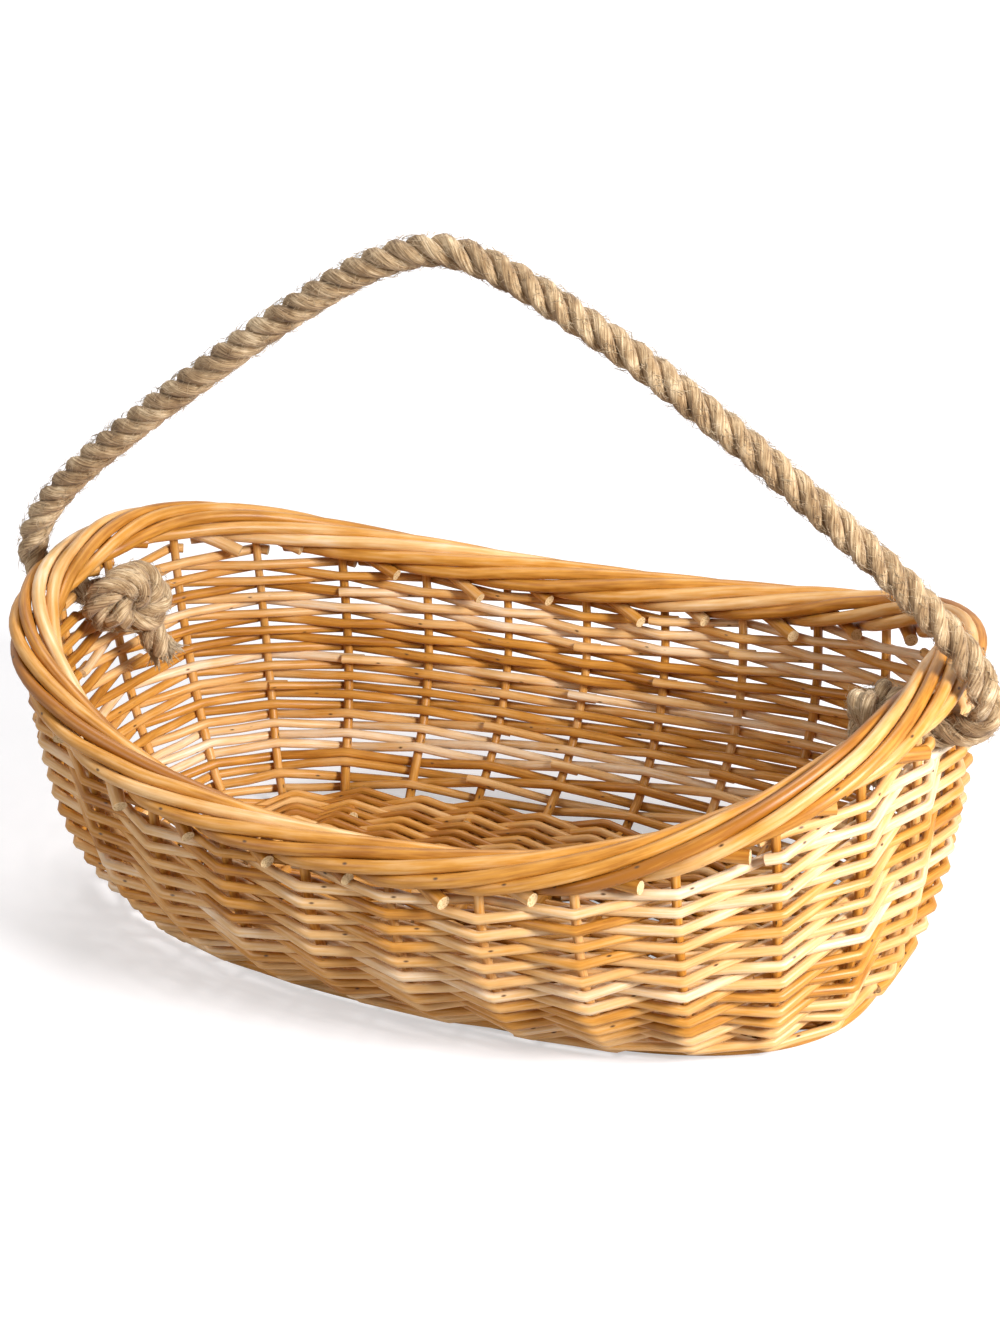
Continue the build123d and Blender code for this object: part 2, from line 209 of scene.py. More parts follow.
# Peeled willow: a tone for each rod, blotches along it, fine streaks, and small dark knots
def willowMaterial(name, darker=0.0, roughness=0.4):
    material, tree, shader = startMaterial(name)
    tone = addNode(tree, "ShaderNodeAttribute", attribute_name="tone").outputs["Fac"]
    place = addNode(tree, "ShaderNodeTexCoord").outputs["Object"]
    follow = addNode(tree, "ShaderNodeUVMap", uv_map="UVMap").outputs["UV"]
    blotches = addNode(tree, "ShaderNodeTexNoise", {"Vector": place, "Scale": 26, "Detail": 4}).outputs["Fac"]
    streakPlace = addNode(tree, "ShaderNodeMapping", {"Vector": follow, "Scale": (38, 13, 1)}).outputs["Vector"]
    streaks = addNode(tree, "ShaderNodeTexNoise", {"Vector": streakPlace, "Scale": 1, "Detail": 5}).outputs["Fac"]
    knotPlace = addNode(tree, "ShaderNodeMapping", {"Vector": follow, "Scale": (75, 3.6, 1)}).outputs["Vector"]
    knots = addNode(tree, "ShaderNodeTexVoronoi", {"Vector": knotPlace, "Scale": 1})
    chosen = addNode(tree, "ShaderNodeSeparateColor", {"Color": knots.outputs["Color"]}).outputs["Red"]
    isChosen = addNode(tree, "ShaderNodeMath", {0: chosen, 1: 0.7}, operation="GREATER_THAN").outputs[0]
    isNear = addNode(tree, "ShaderNodeMapRange", {0: knots.outputs["Distance"], 1: 0.06, 2: 0.16, 3: 1, 4: 0})
    speck = addNode(tree, "ShaderNodeMath", {0: isNear.outputs[0], 1: isChosen}, operation="MULTIPLY").outputs[0]
    uneven = addNode(tree, "ShaderNodeMath", {0: blotches, 1: 0.58, 2: tone}, operation="MULTIPLY_ADD").outputs[0]
    streaky = addNode(tree, "ShaderNodeMath", {0: streaks, 1: 0.75, 2: uneven}, operation="MULTIPLY_ADD").outputs[0]
    level = addNode(tree, "ShaderNodeMath", {0: streaky, 1: 0.60 - darker}, operation="SUBTRACT").outputs[0]
    wood = addRamp(tree, level, [
        (0.02, willowColours["pale"]),
        (0.37, willowColours["honey"]),
        (0.7, willowColours["amber"]),
        (1.0, willowColours["brown"]),
    ])
    spotted = addNode(tree, "ShaderNodeMix", {0: speck, 6: wood, 7: (*willowColours["knot"], 1)}, data_type="RGBA")
    gloss = addNode(tree, "ShaderNodeMapRange", {0: streaks, 3: roughness - 0.08, 4: roughness + 0.14}).outputs[0]
    height = addNode(tree, "ShaderNodeMath", {0: speck, 1: 0.6, 2: streaks}, operation="MULTIPLY_ADD").outputs[0]
    bump = addNode(tree, "ShaderNodeBump", {"Height": height, "Strength": 0.35, "Distance": 0.0006})
    tree.links.new(spotted.outputs[2], shader.inputs["Base Color"])
    tree.links.new(gloss, shader.inputs["Roughness"])
    tree.links.new(bump.outputs[0], shader.inputs["Normal"])
    shader.inputs["Specular IOR Level"].default_value = 0.15
    shader.inputs["Coat Weight"].default_value = 0.45
    shader.inputs["Coat Roughness"].default_value = 0.38
    return material


def cutMaterial():
    material, tree, shader = startMaterial("cutWillow")
    place = addNode(tree, "ShaderNodeTexCoord").outputs["Object"]
    fibres = addNode(tree, "ShaderNodeTexNoise", {"Vector": place, "Scale": 900, "Detail": 3}).outputs["Fac"]
    colour = addRamp(tree, fibres, [(0.3, willowColours["pith"]), (0.52, willowColours["cut"])])
    tree.links.new(colour, shader.inputs["Base Color"])
    bump = addNode(tree, "ShaderNodeBump", {"Height": fibres, "Strength": 0.4, "Distance": 0.0004})
    tree.links.new(bump.outputs[0], shader.inputs["Normal"])
    shader.inputs["Roughness"].default_value = 0.75
    return material


ropeColours = {
    "deep": (0.12, 0.062, 0.022),
    "shade": (0.28, 0.165, 0.07),
    "straw": (0.47, 0.315, 0.165),
    "light": (0.76, 0.58, 0.36),
}


def juteMaterial(name, lift=0.0):
    material, tree, shader = startMaterial(name)
    follow = addNode(tree, "ShaderNodeUVMap", uv_map="UVMap").outputs["UV"]
    place = addNode(tree, "ShaderNodeTexCoord").outputs["Object"]
    fibrePlace = addNode(tree, "ShaderNodeMapping", {"Vector": follow, "Scale": (90, 26, 1)})
    fibreNoise = {"Vector": fibrePlace.outputs[0], "Scale": 1, "Detail": 6, "Roughness": 0.65}
    fibres = addNode(tree, "ShaderNodeTexNoise", fibreNoise).outputs["Fac"]
    patches = addNode(tree, "ShaderNodeTexNoise", {"Vector": place, "Scale": 70, "Detail": 5}).outputs["Fac"]
    both = addNode(tree, "ShaderNodeMath", {0: patches, 1: 0.6, 2: fibres}, operation="MULTIPLY_ADD").outputs[0]
    level = addNode(tree, "ShaderNodeMath", {0: both, 1: 0.3 - lift}, operation="SUBTRACT").outputs[0]
    colour = addRamp(tree, level, [
        (0.3, ropeColours["deep"]),
        (0.42, ropeColours["shade"]),
        (0.54, ropeColours["straw"]),
        (0.68, ropeColours["light"]),
    ])
    bump = addNode(tree, "ShaderNodeBump", {"Height": fibres, "Strength": 0.9, "Distance": 0.0012})
    tree.links.new(colour, shader.inputs["Base Color"])
    tree.links.new(bump.outputs[0], shader.inputs["Normal"])
    shader.inputs["Roughness"].default_value = 0.92
    shader.inputs["Sheen Weight"].default_value = 0.15
    shader.inputs["Sheen Roughness"].default_value = 0.6
    return material


sideWillow = willowMaterial("sideWillow")
borderWillow = willowMaterial("borderWillow", darker=0.18, roughness=0.36)
stakeWillow = willowMaterial("stakeWillow", darker=0.04)
floorWillow = willowMaterial("floorWillow", darker=0.26, roughness=0.5)
cutWillow = cutMaterial()
jute = juteMaterial("jute")
juteFibre = juteMaterial("juteFibre", lift=0.12)
print("materials made")


# A rod is a path with its own thickness at each point, made a mesh with closed ends

def startPath(name):
    bpy.ops.object.select_all(action="DESELECT")
    bpy.ops.curve.primitive_nurbs_path_add()
    path = bpy.context.object
    path.name = name
    path.location = (0, 0, 0)
    path.data.splines.clear()
    path.data.dimensions = "3D"
    path.data.twist_mode = "MINIMUM"
    return path


def addSpline(path, points, radii=None, tilts=None, splineType="POLY"):
    spline = path.data.splines.new(splineType)
    spline.points.add(len(points) - 1)
    spline.points.foreach_set("co", [v for p in points for v in (p[0], p[1], p[2], 1)])
    spline.points.foreach_set("radius", [1.0] * len(points) if radii is None else list(radii))
    if tilts is not None:
        spline.points.foreach_set("tilt", list(tilts))
    spline.use_smooth = True
    return spline


def stepLengths(points):
    points = np.array([tuple(p) for p in points])
    return np.concatenate([[0], np.cumsum(np.linalg.norm(np.diff(points, axis=0), axis=1))])


# Turns the active path into a mesh whose UV map holds the distance along, in metres, and the way round
def pathToMesh(points, sides):
    bpy.ops.object.convert(target="MESH")
    piece = bpy.context.object
    mesh = piece.data
    along = np.zeros(len(mesh.vertices))
    along[2 * sides:] = np.repeat(stepLengths(points), sides)
    corners = np.zeros(len(mesh.loops), int)
    mesh.loops.foreach_get("vertex_index", corners)
    uv = np.zeros(2 * len(mesh.loops))
    mesh.uv_layers[0].data.foreach_get("uv", uv)
    uv[0::2] = along[corners]
    mesh.uv_layers[0].data.foreach_set("uv", uv)
    return piece


def willowRod(points, radii, material, tone=None, bevels=3):
    path = startPath("rod")
    sides = 4 + 2 * bevels
    addSpline(path, points, radii)
    path.data.bevel_depth = 1
    path.data.bevel_resolution = bevels
    path.data.use_fill_caps = True
    rod = pathToMesh(points, sides)
    mesh = rod.data
    rod.data.materials.append(material)
    rod.data.materials.append(cutWillow)
    isCut = [1 if max(face.vertices) < 2 * sides else 0 for face in mesh.polygons]
    mesh.polygons.foreach_set("material_index", isCut)
    shade = mesh.attributes.new("tone", "FLOAT", "POINT")
    value = random.betavariate(3.4, 3.9) if tone is None else tone
    shade.data.foreach_set("value", [value] * len(mesh.vertices))
    return rod


def joinPieces(parts, name, body, slotName, *nodes):
    bpy.ops.object.select_all(action="DESELECT")
    for part in parts:
        part.select_set(True)
    bpy.context.view_layer.objects.active = parts[0]
    if len(parts) > 1:
        bpy.ops.object.join()
    piece = bpy.context.object
    bpy.ops.object.mode_set(mode="EDIT")
    bpy.ops.mesh.select_all(action="SELECT")
    bpy.ops.mesh.remove_doubles(threshold=0.000005)
    bpy.ops.object.mode_set(mode="OBJECT")
    bpy.ops.object.shade_smooth_by_angle(angle=radians(50))
    piece.name = name
    piece.data.name = name
    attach(piece, body)
    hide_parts(*nodes)
    return piece


# A small chance shift either way, so that no two rods lie quite alike
def waver(size=0.00035):
    return random.uniform(-size, size)


# Rope handle: the route repeats the cord's points in the model, out from the middle of each wall hole

ropeHandle = {
    "hingeHeight": 0.1845,
    "holeAt": 0.270,
    "route": [
        (-0.325, 0.0), (-0.331, 0.0345), (-0.291, 0.0815), (-0.221, 0.1355), (-0.130, 0.2015), (-0.062, 0.2455),
        (-0.014, 0.2630), (0.017, 0.2575), (0.066, 0.2355), (0.151, 0.1845), (0.241, 0.1165), (0.287, 0.0775),
        (0.3215, 0.0395), (0.325, 0.0),
    ],
    "diameter": 0.020,
    "lay": 0.050,
    "strandRadius": 0.0049,
    "strandOut": 0.0051,
    "yarns": 7,
    "yarnDepth": 0.07,
    "yarnTwistPerMetre": 125,
    "swells": ((0.035, 61, 2.1), (0.02, 173, 1)),  # size, turns of a wave per metre, shift from strand to strand
    "step": 0.002,
    "fibres": 7600,
    "fibreRadius": 0.00017,
    "fibreReach": 0.009,
    "frayFibres": 130,
    "frayRadius": 0.00045,
    "fraySpread": 0.0085,
    "frayLength": (0.006, 0.013),
    # an overhand knot flat against the wall: its middle from the hole (inwards, front, up), and its turns
    "knotMiddle": (0.0135, 0.004, -0.003),
    "knotRing": 0.0160,
    "knotDepth": 0.0085,
    "knotFacing": 18,
    "knotTurn": -100,
    "tail": [(0.021, -0.011, -0.030), (0.025, -0.013, -0.041)],
}


def smoothLine(points):
    path = startPath("route")
    spline = addSpline(path, points, splineType="NURBS")
    spline.order_u = 3
    spline.use_endpoint_u = True
    path.data.resolution_u = 24
    bpy.context.view_layer.update()
    drawn = bpy.data.meshes.new_from_object(path.evaluated_get(bpy.context.evaluated_depsgraph_get()))
    line = np.array([vertex.co for vertex in drawn.vertices])
    bpy.data.meshes.remove(drawn)
    bpy.data.objects.remove(path)
    return line


def evenSteps(line, step):
    lengths = stepLengths(line)
    count = max(int(lengths[-1] / step), 2)
    places = np.linspace(0, lengths[-1], count + 1)
    return np.stack([np.interp(places, lengths, line[:, i]) for i in range(3)], -1)


# Directions across a line that turn with it and don't spin round it
def linePlanes(line):
    headings = np.gradient(line, axis=0)
    headings /= np.linalg.norm(headings, axis=1)[:, None]
    sideways = np.zeros_like(line)
    sideways[0] = np.cross(headings[0], (0.3, 1, 0.2))
    sideways[0] /= np.linalg.norm(sideways[0])
    for i in range(1, len(line)):
        side = sideways[i - 1] - headings[i] * (sideways[i - 1] @ headings[i])
        sideways[i] = side / np.linalg.norm(side)
    return sideways, np.cross(headings, sideways)


# The rope leaves the wall, makes the three crossings of an overhand knot, and ends in a short tail
def knotLine(side):
    hole = Vector((side * ropeHandle["holeAt"], 0, ropeHandle["hingeHeight"]))
    inward, front, up = ropeHandle["knotMiddle"]
    facing = radians(ropeHandle["knotFacing"])
    turns = [(0, 0, 0)]
    for i in range(19):
        t = radians(30 + 300 * i / 18)
        around = radians(ropeHandle["knotTurn"]) - 2 * t
        radius = ropeHandle["knotRing"] + ropeHandle["knotDepth"] * cos(3 * t)
        depth = ropeHandle["knotDepth"] * sin(3 * t)
        aside = radius * cos(around)
        turns.append((
            inward + depth * cos(facing) + aside * sin(facing),
            front + depth * sin(facing) - aside * cos(facing),
            up + radius * sin(around),
        ))
    turns += ropeHandle["tail"]
    return smoothLine([hole + Vector((-side * a, -b, c)) for a, b, c in turns])


def makeYarnProfile():
    path = startPath("yarnProfile")
    yarns = ropeHandle["yarns"]
    points = []
    for i in range(4 * yarns):
        angle = tau * i / (4 * yarns)
        radius = ropeHandle["strandRadius"] * (1 - ropeHandle["yarnDepth"] * (0.5 - 0.5 * cos(yarns * angle)))
        points.append((radius * cos(angle), radius * sin(angle), 0))
    addSpline(path, points).use_cyclic_u = True
    path.data.dimensions = "2D"
    return path


def ropeStrands(line, across, over, fromLength, profile):
    strands = []
    places = fromLength + stepLengths(line)
    for strand in range(3):
        turn = tau * (places / ropeHandle["lay"] + strand / 3)
        out = ropeHandle["strandOut"]
        points = line + out * (np.cos(turn)[:, None] * across + np.sin(turn)[:, None] * over)
        path = startPath("strand")
        swell = 1 + sum(size * np.sin(places * rate + shift * strand) for size, rate, shift in ropeHandle["swells"])
        addSpline(path, points, swell, places * ropeHandle["yarnTwistPerMetre"])
        path.data.bevel_mode = "OBJECT"
        path.data.bevel_object = profile
        path.data.use_fill_caps = True
        part = pathToMesh(points, 4 * ropeHandle["yarns"])
        part.data.materials.append(jute)
        strands.append(part)
    return strands


def fibresToPiece(path, radius):
    path.data.bevel_depth = radius
    path.data.bevel_resolution = 0
    bpy.ops.object.convert(target="MESH")
    piece = bpy.context.object
    piece.data.materials.append(juteFibre)
    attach(piece, "handle")
    return piece


# Loose fibres stand off the rope: short bent hairs that start on its surface
def looseFibres(name, line, across, over, count):
    path = startPath(name)
    radius = ropeHandle["diameter"] / 2
    for n in range(count):
        stands = 0.55 if n % 2 else 0.22
        i = random.randrange(2, len(line) - 2)
        angle = random.uniform(0, tau)
        outward = Vector(across[i] * cos(angle) + over[i] * sin(angle))
        heading = Vector(line[i + 1] - line[i - 1]).normalized() * random.choice((-1, 1))
        sideways = outward.cross(heading)
        start = Vector(line[i]) + outward * radius * random.uniform(0.82, 0.96)
        length = random.uniform(0.3, 1) * ropeHandle["fibreReach"]
        lean = random.uniform(0.3, 1.1)
        curl = random.uniform(-0.8, 0.8)
        points = []
        for j in range(4):
            share = j / 3
            away = outward * (share - 0.45 * share * share) * length * stands
            points.append(start + away + heading * share * length * lean + sideways * share * share * curl * length)
        addSpline(path, points, [1, 0.9, 0.7, 0.35])
    return fibresToPiece(path, ropeHandle["fibreRadius"])


# The cut end of the rope opens into a short brush of yarns
def frayedEnd(name, end, before):
    path = startPath(name)
    heading = Vector(end - before).normalized()
    aside = heading.cross(Vector((0.2, 1, 0.1))).normalized()
    for _ in range(ropeHandle["frayFibres"]):
        spread = random.random() ** 0.5
        outward = Matrix.Rotation(random.uniform(0, tau), 3, heading) @ aside
        start = Vector(end) - heading * 2 * ropeHandle["step"] + outward * spread * ropeHandle["fraySpread"]
        length = random.uniform(*ropeHandle["frayLength"])
        splay = outward * spread * random.uniform(0.0, 0.6) + Vector((waver(0.25), waver(0.25), waver(0.25)))
        points = [start + (heading + splay * share) * length * share for share in (0, 0.35, 0.7, 1)]
        addSpline(path, points, [1, 1, 0.9, 0.5])
    return fibresToPiece(path, ropeHandle["frayRadius"])


def makeRope():
    hinge = ropeHandle["hingeHeight"]
    route = [(-ropeHandle["holeAt"], 0.0)] + ropeHandle["route"] + [(ropeHandle["holeAt"], 0.0)]
    arch = evenSteps(smoothLine([(x, 0, hinge + rise) for x, rise in route]), ropeHandle["step"])
    leftLine = evenSteps(knotLine(-1), ropeHandle["step"])[::-1]
    rightLine = evenSteps(knotLine(1), ropeHandle["step"])
    whole = np.concatenate([leftLine, arch[1:], rightLine[1:]])
    across, over = linePlanes(whole)
    lengths = stepLengths(whole)
    profile = makeYarnProfile()
    firstHole, lastHole = len(leftLine) - 1, len(leftLine) + len(arch) - 2
    spans = {
        "leftKnot": (0, firstHole + 1, "left_knot"),
        "ropeHandle": (firstHole, lastHole + 1, "rope_handle"),
        "rightKnot": (lastHole, len(whole), "right_knot"),
    }
    for name, (start, end, node) in spans.items():
        part = slice(start, end)
        strands = ropeStrands(whole[part], across[part], over[part], lengths[start], profile)
        joinPieces(strands, name, "handle", "jute_rope", node)
        share = (lengths[end - 1] - lengths[start]) / lengths[-1]
        count = int(ropeHandle["fibres"] * share)
        looseFibres(name + "Fibres", whole[part], across[part], over[part], count)
    bpy.data.objects.remove(profile)
    frayedEnd("leftFray", whole[0], whole[2])
    frayedEnd("rightFray", whole[-1], whole[-3])


makeRope()
print("rope and knots made")


# Weaving of the walls: each rod runs straight from stake to stake and bends sharply over them
weave = {
    "rodRadius": 0.0033,
    "stakeRadius": 0.0030,
    "gap": 0.0001,
    "pitchSides": 0.00620,
    "pitchEnds": 0.00676,
    "crowding": 0.12,
    "firstRow": 0.0060,
    "waleRows": 3,
    "sideRows": 21,
    "bands": 5,
    "shiftPerRow": 5,
    "bendHalf": 0.0014,
    "tuckPast": (0.002, 0.008),
    "rodsPerRow": 2,
    "rodTail": 0.2,
    "borderRoom": 0.0135,
    "holeHalfWidth": 0.0216,
    "packingTail": 0.15,
}


def rowAlong(row, place):
    endShare = (abs(floorPoint(place).x) / basket["floorHalfLength"]) ** 2
    pitch = weave["pitchSides"] + (weave["pitchEnds"] - weave["pitchSides"]) * endShare
    rows = weave["waleRows"] + weave["sideRows"]
    closer = weave["crowding"] * row * max(rows - row, 0) / rows
    return weave["firstRow"] + (row + closer) * pitch


def rowSide(row, stake):
    if row < weave["waleRows"]:
        return -1 if (stake % basket["stakes"] + row) % 3 == 0 else 1
    return 1 if (stake + row) % 2 == 0 else -1


# Points of one rod past a number of stakes; a tail is a share of a space past the first or last stake
def rowRod(row, firstStake, count, startTail, endTail, tuckEnd=False):
    offset = weave["stakeRadius"] + weave["gap"] + weave["rodRadius"]
    bends = []
    for i in range(-1, count + 1):
        stake = firstStake + i
        centre, out, up = wallAxes(stake + 0.5, rowAlong(row, stake + 0.5))
        point = centre + out * (offset * rowSide(row, stake) + waver()) + up * waver()
        bends.append((point, out, up, up.cross(out)))
    points = [bends[1][0].lerp(bends[0][0], startTail)]
    for i, (point, out, up, around) in enumerate(bends[1:-1]):
        points.append(point - around * weave["bendHalf"])
        points.append(point + around * weave["bendHalf"])
        if i < count - 1:
            middle = point.lerp(bends[i + 2][0], 0.5)
            points.append(middle + out * waver() + up * waver(0.0006))
    last, beyond = bends[-2], bends[-1]
    if tuckEnd:
        inside = beyond[0] + beyond[1] * -weave["rodRadius"] + beyond[2] * waver(0.001)
        points.append(last[0].lerp(inside, 0.5))
        points.append(inside - beyond[3] * weave["bendHalf"])
        points.append(inside + beyond[3] * random.uniform(*weave["tuckPast"]))
    else:
        points.append(last[0].lerp(beyond[0], endTail))
    thick = weave["rodRadius"] * random.uniform(0.94, 1.05)
    thin = thick * random.uniform(0.84, 0.95)
    lengths = stepLengths(points)
    radii = thick + (thin - thick) * lengths / lengths[-1]
    return willowRod(points, radii, sideWillow)


def fullRow(row):
    stakes = basket["stakes"] // weave["rodsPerRow"]
    first = weave["shiftPerRow"] * row + random.randrange(4)
    while rowSide(row, first) > 0:
        first += 1
    tail = weave["rodTail"]
    return [rowRod(row, first + part * stakes, stakes, tail, tail, True) for part in range(weave["rodsPerRow"])]


def makeWalls():
    rows = [rod for row in range(weave["waleRows"]) for rod in fullRow(row)]
    joinPieces(rows, "upsettWale", "basket", "side_willow", "upsett_wale")
    starts = [weave["waleRows"] + round(weave["sideRows"] * i / weave["bands"]) for i in range(weave["bands"] + 1)]
    for band, (first, last) in enumerate(zip(starts, starts[1:])):
        rows = [rod for row in range(first, last) for rod in fullRow(row)]
        joinPieces(rows, f"sideWeave{band + 1}", "basket", "side_willow", f"side_weave_{band + 1}")


def rowFits(row, stake):
    place = stake + 0.5
    top = rowAlong(row, place) + weave["rodRadius"] + weave["borderRoom"]
    return top < wallProfile(place)[1][-1]


def makeEndPacking(endPlace, name, node):
    rods = []
    row = weave["waleRows"] + weave["sideRows"]
    space = (rimPoint(endPlace) - rimPoint(endPlace + 1)).length
    holeShare = 0.5 - weave["holeHalfWidth"] / space
    while rowFits(row, endPlace):
        reach = 0
        while rowFits(row, endPlace + reach) and reach < basket["stakes"] // 4:
            reach += 1
        top = wallPoint(endPlace, rowAlong(row, endPlace) + weave["rodRadius"]).z
        tail = weave["packingTail"]
        if top > ropeHandle["hingeHeight"] - ropeHandle["diameter"] / 2 - weave["gap"]:
            rods.append(rowRod(row, endPlace, reach, holeShare, tail))
            rods.append(rowRod(row, endPlace - reach, reach, tail, holeShare))
        else:
            rods.append(rowRod(row, endPlace - reach, 2 * reach, tail, tail))
        row += 1
    joinPieces(rods, name, "basket", "side_willow", node)


makeWalls()
makeEndPacking(0, "endPackingRight", "end_packing_right")
makeEndPacking(basket["stakes"] // 2, "endPackingLeft", "end_packing_left")
print("walls woven")


# Stakes: each turns up from the floor and runs to just under the border
stakeRod = {
    "inFloor": (0.026, 0.044),
    "endLift": (-0.002, 0.0065),
    "bendAt": 0.006,
    "bendDrop": 0.001,
    "topAboveRim": 0.003,
    "thick": 0.0032,
    "thin": 0.0029,
    "tone": (0.35, 0.7),
}


def makeStake(index):
    place = index + 0.5
    wall, lengths = wallProfile(place)
    foot = Vector(wall[0])
    inward = -Vector((foot.x, foot.y * 2.2, 0)).normalized()
    tip = foot + inward * random.uniform(*stakeRod["inFloor"]) + zAxis * random.uniform(*stakeRod["endLift"])
    points = [tip, foot.lerp(tip, 0.5), foot + inward * stakeRod["bendAt"] - zAxis * stakeRod["bendDrop"]]
    points += [Vector(p) + Vector((waver(), waver(), 0)) * 0.6 for p in wall[1:]]
    points[-1] += (points[-1] - points[-2]).normalized() * stakeRod["topAboveRim"]
    radii = np.linspace(stakeRod["thick"], stakeRod["thin"], len(points)) * random.uniform(0.95, 1.05)
    rod = willowRod(points, radii, stakeWillow, random.uniform(*stakeRod["tone"]))
    number = f"{index + 1:02d}"
    joinPieces([rod], "stake" + number, "basket", "stake_willow", "stake_" + number)


for index in range(basket["stakes"]):
    makeStake(index)
print("stakes set")


# Rolled border: a rod starts inside, dives out under the border, climbs over the top while it passes
# five spaces, and dives back out to a cut end below the outer edge
border = {
    "rodRadius": 0.0043,
    "halfWidth": 0.0126,
    "halfHeight": 0.0090,
    "spaces": 5,
    "lowAngle": 35,
    "crossShare": 0.34,
    "cutShare": 0.43,
    "cutOut": 0.0125,
    "cutDrop": 0.0150,
    "cutWaver": 0.003,
    "spaceLength": 0.05,  # about the distance between stakes
    "pointsPerSpace": 6,
    "waver": 0.0006,
}

ringAngles = np.linspace(-radians(border["lowAngle"]), pi + radians(border["lowAngle"]), 361)
ringOut, ringUp = border["halfWidth"] * np.cos(ringAngles), border["halfHeight"] * np.sin(ringAngles)
ringPoints = np.stack([ringOut, ringUp, 0 * ringAngles], -1)
ringLengths = stepLengths(ringPoints)


def ringPoint(share):
    return [float(np.interp(share * ringLengths[-1], ringLengths, ringPoints[:, i])) for i in range(2)]


def makeBorderRod(index):
    start, spaces = index + 0.5, border["spaces"]
    cross, cut = border["crossShare"], border["cutShare"]
    insideCut, outsideCut = cut * random.uniform(0.45, 1.15), cut * random.uniform(0.5, 1.15)
    inShare, outShare = insideCut / cut, outsideCut / cut
    low, dive = border["halfHeight"], border["cutDrop"] - border["halfHeight"]
    knots = [
        (start - cross - insideCut, -border["cutOut"] * inShare, -low - dive * inShare + waver(border["cutWaver"])),
        (start - cross, 0, -low),
    ]
    for step in range(2 * spaces + 1):
        out, up = ringPoint(step / (2 * spaces))
        knots.append((start + step / 2, out + waver(border["waver"]), up + waver(border["waver"])))
    end = start + spaces
    knots.append((end + cross, 0, -low))
    cutHeight = -low - dive * outShare + waver(border["cutWaver"])
    knots.append((end + cross + outsideCut, border["cutOut"] * outShare, cutHeight))
    space = border["spaceLength"]
    line = smoothLine([(place * space, out, up) for place, out, up in knots])
    points = []
    for along, outBy, upBy in evenSteps(line, space / border["pointsPerSpace"]):
        centre, out, up = rimAxes(along / space)
        points.append(centre + out * outBy + up * upBy)
    thick = border["rodRadius"] * random.uniform(0.93, 1.05)
    radii = np.linspace(thick * random.uniform(0.88, 1), thick, len(points))
    return willowRod(points, radii, borderWillow, bevels=4)


for pair in range(basket["stakes"] // 2):
    rods = [makeBorderRod(2 * pair), makeBorderRod(2 * pair + 1)]
    number = f"{pair + 1:02d}"
    joinPieces(rods, "borderRods" + number, "basket", "border_willow", "border_rods_" + number)
print("border rolled")


# Floor: sticks across with a slit in their middle, sticks along through the slits, weaving between them
floorBase = {
    "crossSticks": 8,
    "crossSpacing": 0.043,
    "crossRadius": 0.0034,
    "slitHalfLength": 0.018,
    "slitRadius": 0.0046,
    "longSticks": 5,
    "longRadius": 0.0027,
    "longPitch": 0.0062,
    "longStraightTo": 0.160,
    "fan": 1.35,
    "rings": 17,
    "bundledRings": 6,
    "ringRadius": 0.0029,
    "ringLift": 0.0052,
    "ringStart": 0.0045,
    "ringEnd": 0.0035,
    "ringBendHalf": 0.002,
    "ringTail": 0.45,
    "ringShift": 7,
    "bundleMargin": 0.006,
    "edgeGap": 0.0038,
    "edgeRodRadius": 0.003,
}


def crossHalfLength(x):
    shape = basket["floorShape"]
    share = (1 - (abs(x) / basket["floorHalfLength"]) ** shape) ** (1 / shape)
    width = basket["floorHalfWidth"] * share * (1 + basket["egg"] * x / basket["floorHalfLength"])
    return width - floorBase["edgeGap"]


def crossPlaces():
    count = floorBase["crossSticks"]
    return [(i - (count - 1) / 2) * floorBase["crossSpacing"] for i in range(count)]


def makeCrossSticks():
    rods = []
    height = basket["floorHeight"]
    for x in crossPlaces():
        half, slit = crossHalfLength(x), floorBase["slitHalfLength"]
        thick, wide = floorBase["crossRadius"], floorBase["slitRadius"]
        stations = [-half, -half * 0.6, -slit * 1.4, -slit, slit, slit * 1.4, half * 0.6, half]
        radii = [thick * 0.9, thick, thick, wide, wide, thick, thick, thick * 0.9]
        points = [Vector((x + waver(), y, height)) for y in stations]
        rods.append(willowRod(points, radii, floorWillow))
    joinPieces(rods, "baseCrossSticks", "basket", "floor_willow", "base_cross_sticks")


def longStickPoints(index):
    offset = index - (floorBase["longSticks"] - 1) / 2
    y = offset * floorBase["longPitch"]
    ends = []
    for side in (-1, 1):
        place = floorBase["fan"] * offset if side > 0 else basket["stakes"] / 2 - floorBase["fan"] * offset
        edge = floorPoint(place)
        straight = Vector((side * floorBase["longStraightTo"], y, 0))
        ends.append((straight, edge * (1 - floorBase["edgeGap"] / edge.length)))
    return [ends[0][1], ends[0][0], ends[1][0], ends[1][1]]


def makeLongSticks():
    rods = []
    for index in range(floorBase["longSticks"]):
        tip, left, right, farTip = [p + zAxis * basket["floorHeight"] for p in longStickPoints(index)]
        middle = [left.lerp(right, 0.3), left.lerp(right, 0.7)]
        points = [tip, left.lerp(tip, 0.4), left, *middle, right, right.lerp(farTip, 0.4), farTip]
        radius = floorBase["longRadius"]
        rods.append(willowRod(points, [radius * 0.8] + [radius] * 6 + [radius * 0.8], floorWillow))
    joinPieces(rods, "baseLongSticks", "basket", "floor_willow", "base_long_sticks")


